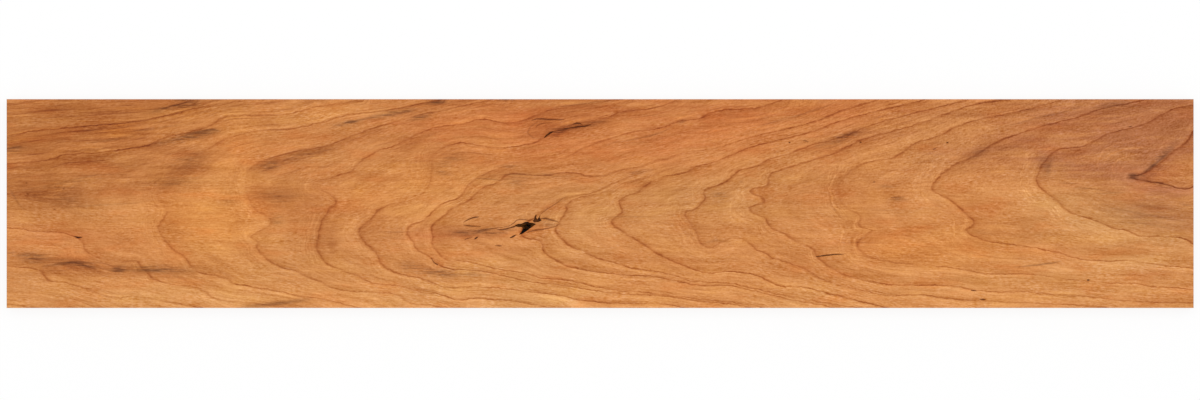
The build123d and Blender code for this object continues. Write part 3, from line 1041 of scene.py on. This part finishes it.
# Each strip: which corners it takes, their two shares, and its box in the square
side_share = girth(y, plank_width / 2, z) / girth_whole
end_share = girth(x, plank_length / 2, z) / girth_whole
strips = [
    (on_left, along_share * 2, across_share, (0.004, 0.640, 0.996, 0.996)),
    (on_right, along_share * 2 - 1, across_share, (0.004, 0.280, 0.996, 0.636)),
    (underneath, along_share, across_share, (0.004, 0.100, 0.996, 0.276)),
    (at_edge & (face_middles[:, 1] < 0), along_share, side_share, (0.004, 0.074, 0.996, 0.096)),
    (at_edge & (face_middles[:, 1] > 0), along_share, side_share, (0.004, 0.048, 0.996, 0.070)),
    (at_end & (face_middles[:, 0] < 0), across_share, end_share, (0.004, 0.004, 0.498, 0.044)),
    (at_end & (face_middles[:, 0] > 0), across_share, end_share, (0.502, 0.004, 0.996, 0.044)),
]
flat = np.zeros((len(places), 2))
for chosen, share_u, share_v, (left, bottom, right, top) in strips:
    flat[chosen, 0] = left + share_u[chosen] * (right - left)
    flat[chosen, 1] = bottom + share_v[chosen] * (top - bottom)
layout.data.foreach_set("uv", flat.astype(np.float32).ravel())
print("layout corners:", len(flat), "from", flat.min().round(3), "to", flat.max().round(3))

# %% [markdown]
# ## Shader maths as plain sums
# The finish is built from many small sums. A Math node for each is slow to read, so one small class wraps
# a node's output and adds the nodes when Python meets + or *. Colours go through Mix nodes instead,
# because a Math node would turn them grey.

# %% A wrapper for node outputs


class Signal:
    """One output in a material's nodes, with sums written as in Python."""

    tree = None

    def __init__(self, socket):
        self.socket = socket

    @classmethod
    def node(cls, kind, settings=None, sockets=None, output=0):
        """Adds any node: its type, its settings, then the values or links of its sockets."""
        node = cls.tree.nodes.new(kind)
        for name, setting in (settings or {}).items():
            setattr(node, name, setting)
        for name, value in (sockets or {}).items():
            if isinstance(value, cls):
                cls.tree.links.new(value.socket, node.inputs[name])
            else:
                node.inputs[name].default_value = value
        return cls(node.outputs[output])

    def math(self, operation, *others):
        """Adds a Math node with this signal first."""
        return self.node("ShaderNodeMath", {"operation": operation}, dict(enumerate((self, *others))))

    def __add__(self, other):
        return self.math("ADD", other)

    def __sub__(self, other):
        return self.math("SUBTRACT", other)

    def __mul__(self, other):
        return self.math("MULTIPLY", other)

    def __truediv__(self, other):
        return self.math("DIVIDE", other)

    def __neg__(self):
        return self.math("MULTIPLY", -1.0)

    def __radd__(self, other):
        return self.math("ADD", other)

    def __rmul__(self, other):
        return self.math("MULTIPLY", other)

    def __rsub__(self, other):
        return self.node("ShaderNodeMath", {"operation": "SUBTRACT"}, {0: other, 1: self})

    def ramp(self, low, high, start=0.0, end=1.0):
        """A smooth step from start to end while this signal goes from low to high."""
        settings = {"interpolation_type": "SMOOTHSTEP"}
        numbers = {"Value": self, "From Min": low, "From Max": high, "To Min": start, "To Max": end}
        return self.node("ShaderNodeMapRange", settings, numbers)

    def limit(self, low=0.0, high=1.0):
        """This signal kept between two values."""
        return self.node("ShaderNodeClamp", None, {"Value": self, "Min": low, "Max": high})


print("sums with the number first:", [name for name in vars(Signal) if name.startswith("__r")])

# %% Colours, and the material they go into
sheen_veil = 0.0127
light_level = 1.16
darkest = 0.001
opaque = 1.0


def field(name):
    """A field that the skin carries on its points."""
    return Signal.node("ShaderNodeAttribute", {"attribute_name": name}, output="Fac")


def tint(colour, factor, stain, how="MULTIPLY"):
    """A colour changed by a stain where the factor says so; plain colours are red, green and blue."""
    # Among the Mix node's sockets, 6 and 7 are its two colours, and output 2 is the mixed one
    settings = {"data_type": "RGBA", "blend_type": how, "clamp_factor": True}
    colour, stain = [(*each, opaque) if isinstance(each, tuple) else each for each in (colour, stain)]
    return Signal.node("ShaderNodeMix", settings, {0: factor, 6: colour, 7: stain}, output=2)


def eye(red, green, blue):
    """The wood's own colour where the camera sees this one, 0 to 255: less the sheen, under this light."""
    shares = [value / 255 for value in (red, green, blue)]
    light = [s / 12.92 if s <= 0.04045 else ((s + 0.055) / 1.055) ** 2.4 for s in shares]
    return tuple(max(value - sheen_veil, darkest) / light_level for value in light)


cherry = bpy.data.materials.new("cherry")
cherry.use_nodes = True
Signal.tree = cherry.node_tree
cherry_shader = cherry.node_tree.nodes["Principled BSDF"]


def count_nodes():
    """Prints how far the finish has grown."""
    print("nodes so far:", len(cherry.node_tree.nodes))


count_nodes()

# %% [markdown]
# ## Ring lines in the finish
# Each ring ends in a band of dense brown latewood. Where the ring runs with the board it is cut steeply and
# shows as a thin dark line; at a tip it is cut at a flat angle and shows as a soft broad one. The distances
# were put on the skin for odd and even rings apart, so that a point between two rings never mixes them up,
# and the nearer ring is picked here. Fibres slip past each other, which gives the line its small teeth.

# %% Noise along the grain
place = Signal.node("ShaderNodeTexCoord", output="Object")


def stretched(along, across, tilt=0.0):
    """The place on the board in cells of the given size in mm, turned by a tilt in degrees."""
    numbers = {
        "Vector": place,
        "Rotation": (0.0, 0.0, math.radians(tilt)),
        "Scale": (along * MM, across * MM, across * MM),
    }
    return Signal.node("ShaderNodeMapping", {"vector_type": "TEXTURE"}, numbers)


def noise(vector, detail=2.0, roughness=0.5):
    """Soft noise about 0, one cell to a unit."""
    numbers = {"Vector": vector, "Scale": 1.0, "Detail": detail, "Roughness": roughness}
    return Signal.node("ShaderNodeTexNoise", None, numbers) - 0.5


tilt_step = 8.0
fibre_lean = field("fibre_lean")
tilts = {}
for tilt in (-12.0, -4.0, 4.0, 12.0, 20.0):
    tilts[tilt] = (1 - (fibre_lean - tilt).math("ABSOLUTE") / tilt_step).limit()


def grain(along, across, detail=2.0, roughness=0.5):
    """Noise that leans with the fibres: a layer for each tilt, mixed by how near the lean is to it."""
    layers = []
    for tilt, share in tilts.items():
        layers.append(noise(stretched(along, across, tilt), detail, roughness) * share)
    return sum(layers[1:], layers[0])


print("grain in", len(tilts), "tilts")

# %% Distance to the nearest ring line
# An even number of rings, added so that no ring number is negative when it is halved
spare_rings = 40.0

ring_number = field("ring")
nearest_ring = (ring_number + 0.5).math("FLOOR")
is_odd = (nearest_ring + spare_rings).math("MODULO", 2.0)
gap_traced = field("gap_even") * (1 - is_odd) + field("gap_odd") * is_odd
gap_within = (ring_number - nearest_ring) * field("ring_spread")
on_upper = field("upper")
slant = field("slant")
wobble = (noise(stretched(9, 5)) * 3.0 + noise(stretched(3, 2)) * 1.6) * (on_upper * 0.6 + 0.4)
teeth = noise(stretched(40, 2.2), 1.0) * slant * 1.8
gap_clean = gap_traced * on_upper + gap_within * (1 - on_upper)
gap = gap_clean + wobble + teeth
count_nodes()

# %% Latewood line, its shade and the pale wood outside it
unevenness = noise(stretched(22, 9), 2.0, 0.6).ramp(-0.2, 0.2, 0.45, 1.25)
mark = field("mark")
line_strength = mark * unevenness
flank = slant.ramp(0.15, 0.65, 1.0, 0.0)
gap_share = gap / (1.25 - flank * 0.65)
band_start = flank * 2.2 - 3.6
band_end = 3.4 - flank * 1.4
line_band = gap_share.ramp(band_start, 0.2) * gap_share.ramp(0.4, band_end, 1.0, 0.0) * line_strength
edge_share = gap / (1.0 - flank * 0.4)
line_edge = edge_share.ramp(-1.4, -0.2) * edge_share.ramp(0.1, 1.6, 1.0, 0.0) * line_strength
late_shade = gap.ramp(-0.4, 0.8) * (gap * -0.13).math("EXPONENT") * mark * (1 - flank * 0.65)
early_pale = gap.ramp(-6.0, -2.5) * gap.ramp(-2.0, -0.4, 1.0, 0.0) * line_strength * (flank * 0.7 + 0.3)
band_tone = (ring_number.math("FRACT") - 0.5) * mark
count_nodes()

# %% [markdown]
# ## Fibres and mottle
# Under the rings lies the wood itself. Its fibres run with the length and lean with the rings on their
# flanks, so the noise is stretched that way: short flecks, streaks, long scratches and a slow mottle. Fine
# round pores lie over them, most of all at the upper right. More streaks follow the rings. Just outside a
# ring's tip the yearly layers are cut at a flat angle and show as fine wavy contour lines, more so towards
# the right end.

# %% Fibres, flecks and pores
calm = noise(stretched(50, 20), 2.0).ramp(-0.15, 0.15, 0.65, 1.2)
fleck = grain(4.8, 1.0, 1.0) * calm
fibre = grain(20, 1.3, 4.0, 0.6)
scratch = noise(stretched(130, 2.0), 3.0, 0.6)
mottle = noise(stretched(30, 12), 3.0, 0.6)
redness = noise(stretched(48, 15), 3.0, 0.55)
cloud = noise(stretched(120, 34), 2.0, 0.5)
dash = grain(12, 1.0, 1.0)
pale_dash = dash.ramp(0.12, 0.26)
dark_dash = dash.ramp(-0.12, -0.26)
along_board = Signal.node("ShaderNodeSeparateXYZ", None, {"Vector": place}, "X")
across_board = Signal.node("ShaderNodeSeparateXYZ", None, {"Vector": place}, "Y")
upper_right = along_board.ramp(0.05, 0.4) * across_board.ramp(-0.02, 0.06)
pore = noise(stretched(1.9, 1.7, 33.0), 1.0) * (0.4 + upper_right * 0.4)
count_nodes()

# %% Streaks and contour lines beside the rings


def beside_rings(along_cells, steps):
    """A place counted along the board and in steps across the rings."""
    return Signal.node("ShaderNodeCombineXYZ", None, {"X": along_board * along_cells, "Y": steps})


growth_streak = noise(beside_rings(14.0, ring_number * 8.0), 3.0, 0.6)
growth_line = noise(beside_rings(9.0, ring_number * 5.0 + wobble * 0.2), 1.0).ramp(-0.10, -0.24)
growth_band = noise(beside_rings(7.0, ring_number * 2.3), 2.0, 0.5)
ripple = noise(stretched(9, 7), 2.0, 0.6) * 9.0
contour = noise(beside_rings(90.0, (gap_clean + ripple) * 0.6), 1.0)
outside_tip = slant.ramp(0.3, 0.8) * gap_clean.ramp(-32.0, -8.0) * gap_clean.ramp(-3.0, -1.0, 1.0, 0.0)
contour_line = contour.ramp(0.05, 0.17) * outside_tip * along_board.ramp(0.0, 0.25, 0.15, 0.75)
thin_streak = noise(beside_rings(11.0, gap_clean * 0.42 + nearest_ring * 7.3), 2.0, 0.6)
brown = field("brown")
streaky = flank * (brown * 0.6 + across_board.ramp(0.0, 0.05, 0.15, 0.45))
count_nodes()

# %% Colour of the wood from its fibres
tone = 0.53 + pore + fleck * 1.05 + fibre + scratch * 0.5 + mottle * 0.55
tone = tone + growth_streak * (flank * 0.7 + 0.2) + growth_band * 0.6
tone = tone + contour * outside_tip * 0.6 + band_tone * 0.15
wood = tint(eye(172, 100, 44), tone.limit(), eye(232, 164, 104), "MIX")
dashed = brown * 0.45 + 0.35

# Each tint: where it lies, and what it multiplies red, green and blue by
fibre_tints = {
    "red mottle": (redness.ramp(0.0, 0.22), (0.98, 0.87, 0.76)),
    "yellow mottle": (redness.ramp(0.0, -0.22), (1.04, 1.06, 0.98)),
    "red clouds": (cloud.ramp(-0.2, 0.2), (1.0, 0.93, 0.88)),
    "pale dashes": (pale_dash * dashed, (1.18, 1.30, 1.60)),
    "dark dashes": (dark_dash * dashed, (0.76, 0.62, 0.44)),
    "pale flecks": (fleck.ramp(0.0, 0.25), (1.0, 1.06, 1.36)),
    "dark flecks": (fleck.ramp(0.0, -0.25), (1.0, 0.94, 0.70)),
    "growth lines": (growth_line * flank * (brown * 0.5 + 0.2), (0.62, 0.48, 0.36)),
    "dark thin streaks": (thin_streak.ramp(-0.06, -0.20) * streaky, (0.66, 0.50, 0.36)),
    "pale thin streaks": (thin_streak.ramp(0.08, 0.22) * streaky, (1.16, 1.22, 1.12)),
    "contour lines": (contour_line, (1.14, 1.22, 1.30)),
}
for share, colour in fibre_tints.values():
    wood = tint(wood, share, colour)
count_nodes()

# %% Colour of the broad patches and the ring lines
patchy = noise(stretched(70, 5), 3.0, 0.6).ramp(-0.2, 0.2, 0.55, 1.45)
patch_tints = {
    "gold": (field("gold"), (1.14, 1.14, 0.94)),
    "pale": (field("pale"), (1.14, 1.26, 1.36)),
    "ash": (field("ash"), (0.95, 1.05, 1.12)),
    "blush": (field("blush") * patchy, (1.0, 0.86, 0.82)),
    "brown": (brown * patchy, (0.72, 0.59, 0.45)),
    "plum": (field("plum") * patchy, (0.74, 0.64, 0.76)),
    "early wood": (early_pale * 0.3, (1.12, 1.18, 1.20)),
    "late wood": (late_shade * 0.35, (0.84, 0.70, 0.56)),
    "line": (line_band * (flank * 0.1 + 0.7), (0.80, 0.63, 0.44)),
    "edge of the line": (line_edge * (flank * 0.2 + 0.85), (0.64, 0.46, 0.24)),
}
for share, colour in patch_tints.values():
    wood = tint(wood, share, colour)
count_nodes()

# %% Smudges, streaks, and the knot's and cracks' dark colour with painted shade over it
smudge_grain = noise(stretched(20, 1.3), 3.0, 0.65).ramp(-0.15, 0.15, 0.2, 1.75)
wood = tint(wood, field("smoke") * smudge_grain * 1.1, (0.46, 0.41, 0.40))
for sheet in streak_sheets:
    ragged = field(sheet + "_gap") + noise(stretched(6, 1.5), 2.0) * 1.4
    streak = field(sheet) * (-(ragged * ragged)).math("EXPONENT")
    wood = tint(wood, streak * 0.8, (0.36, 0.28, 0.24))
    wood = tint(wood, streak * -0.9, (1.3, 1.4, 1.5))
wood = tint(wood, field("end_grain") * 0.55, (0.62, 0.52, 0.46))
# The knot's and the cracks' darkening: their own dark colour, and painted shade in the hole and the cracks
hollow_dark_and_shade = field("dark_and_shade")
wood = tint(wood, hollow_dark_and_shade.ramp(0.0, 0.7), (0.42, 0.30, 0.26))
# Near black deep in the knot hole: painted shade over the dead knot's dark brown
deep_dark_and_shade = tint(eye(26, 16, 12), noise(stretched(8, 4)).ramp(-0.06, 0.2), eye(88, 54, 31), "MIX")
wood = tint(wood, hollow_dark_and_shade.ramp(0.35, 1.0), deep_dark_and_shade, "MIX")
Signal.tree.links.new(wood.socket, cherry_shader.inputs["Base Color"])
count_nodes()

# %% Sheen and fine relief
roughness = 0.5 + fibre * 0.25 + hollow_dark_and_shade * 0.35
Signal.tree.links.new(roughness.limit(0.3, 0.95).socket, cherry_shader.inputs["Roughness"])
cherry_shader.inputs["Specular IOR Level"].default_value = 0.1
relief = Signal.node(
    "ShaderNodeBump",
    None,
    {"Strength": 0.08, "Distance": 0.0002, "Height": fibre + fleck * 0.6 - dark_dash * 0.4},
    "Normal",
)
Signal.tree.links.new(relief.socket, cherry_shader.inputs["Normal"])
print("cherry has", len(cherry.node_tree.nodes), "nodes")

# %% [markdown]
# ## The dressed board
# The skin takes the place of the plain solid and rides with it. The flat faces keep flat shading, so the
# light breaks only at the eased arris.

# %% Place the board
cherry_board = bpy.data.objects.new("cherry_board", plank_mesh)
bpy.context.collection.objects.link(cherry_board)
plank_mesh.materials.append(cherry)
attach(cherry_board, "root")
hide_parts("board")
plank_mesh.calc_loop_triangles()
print("triangles:", len(plank_mesh.loop_triangles))

# %% Update the scene
bpy.context.view_layer.update()
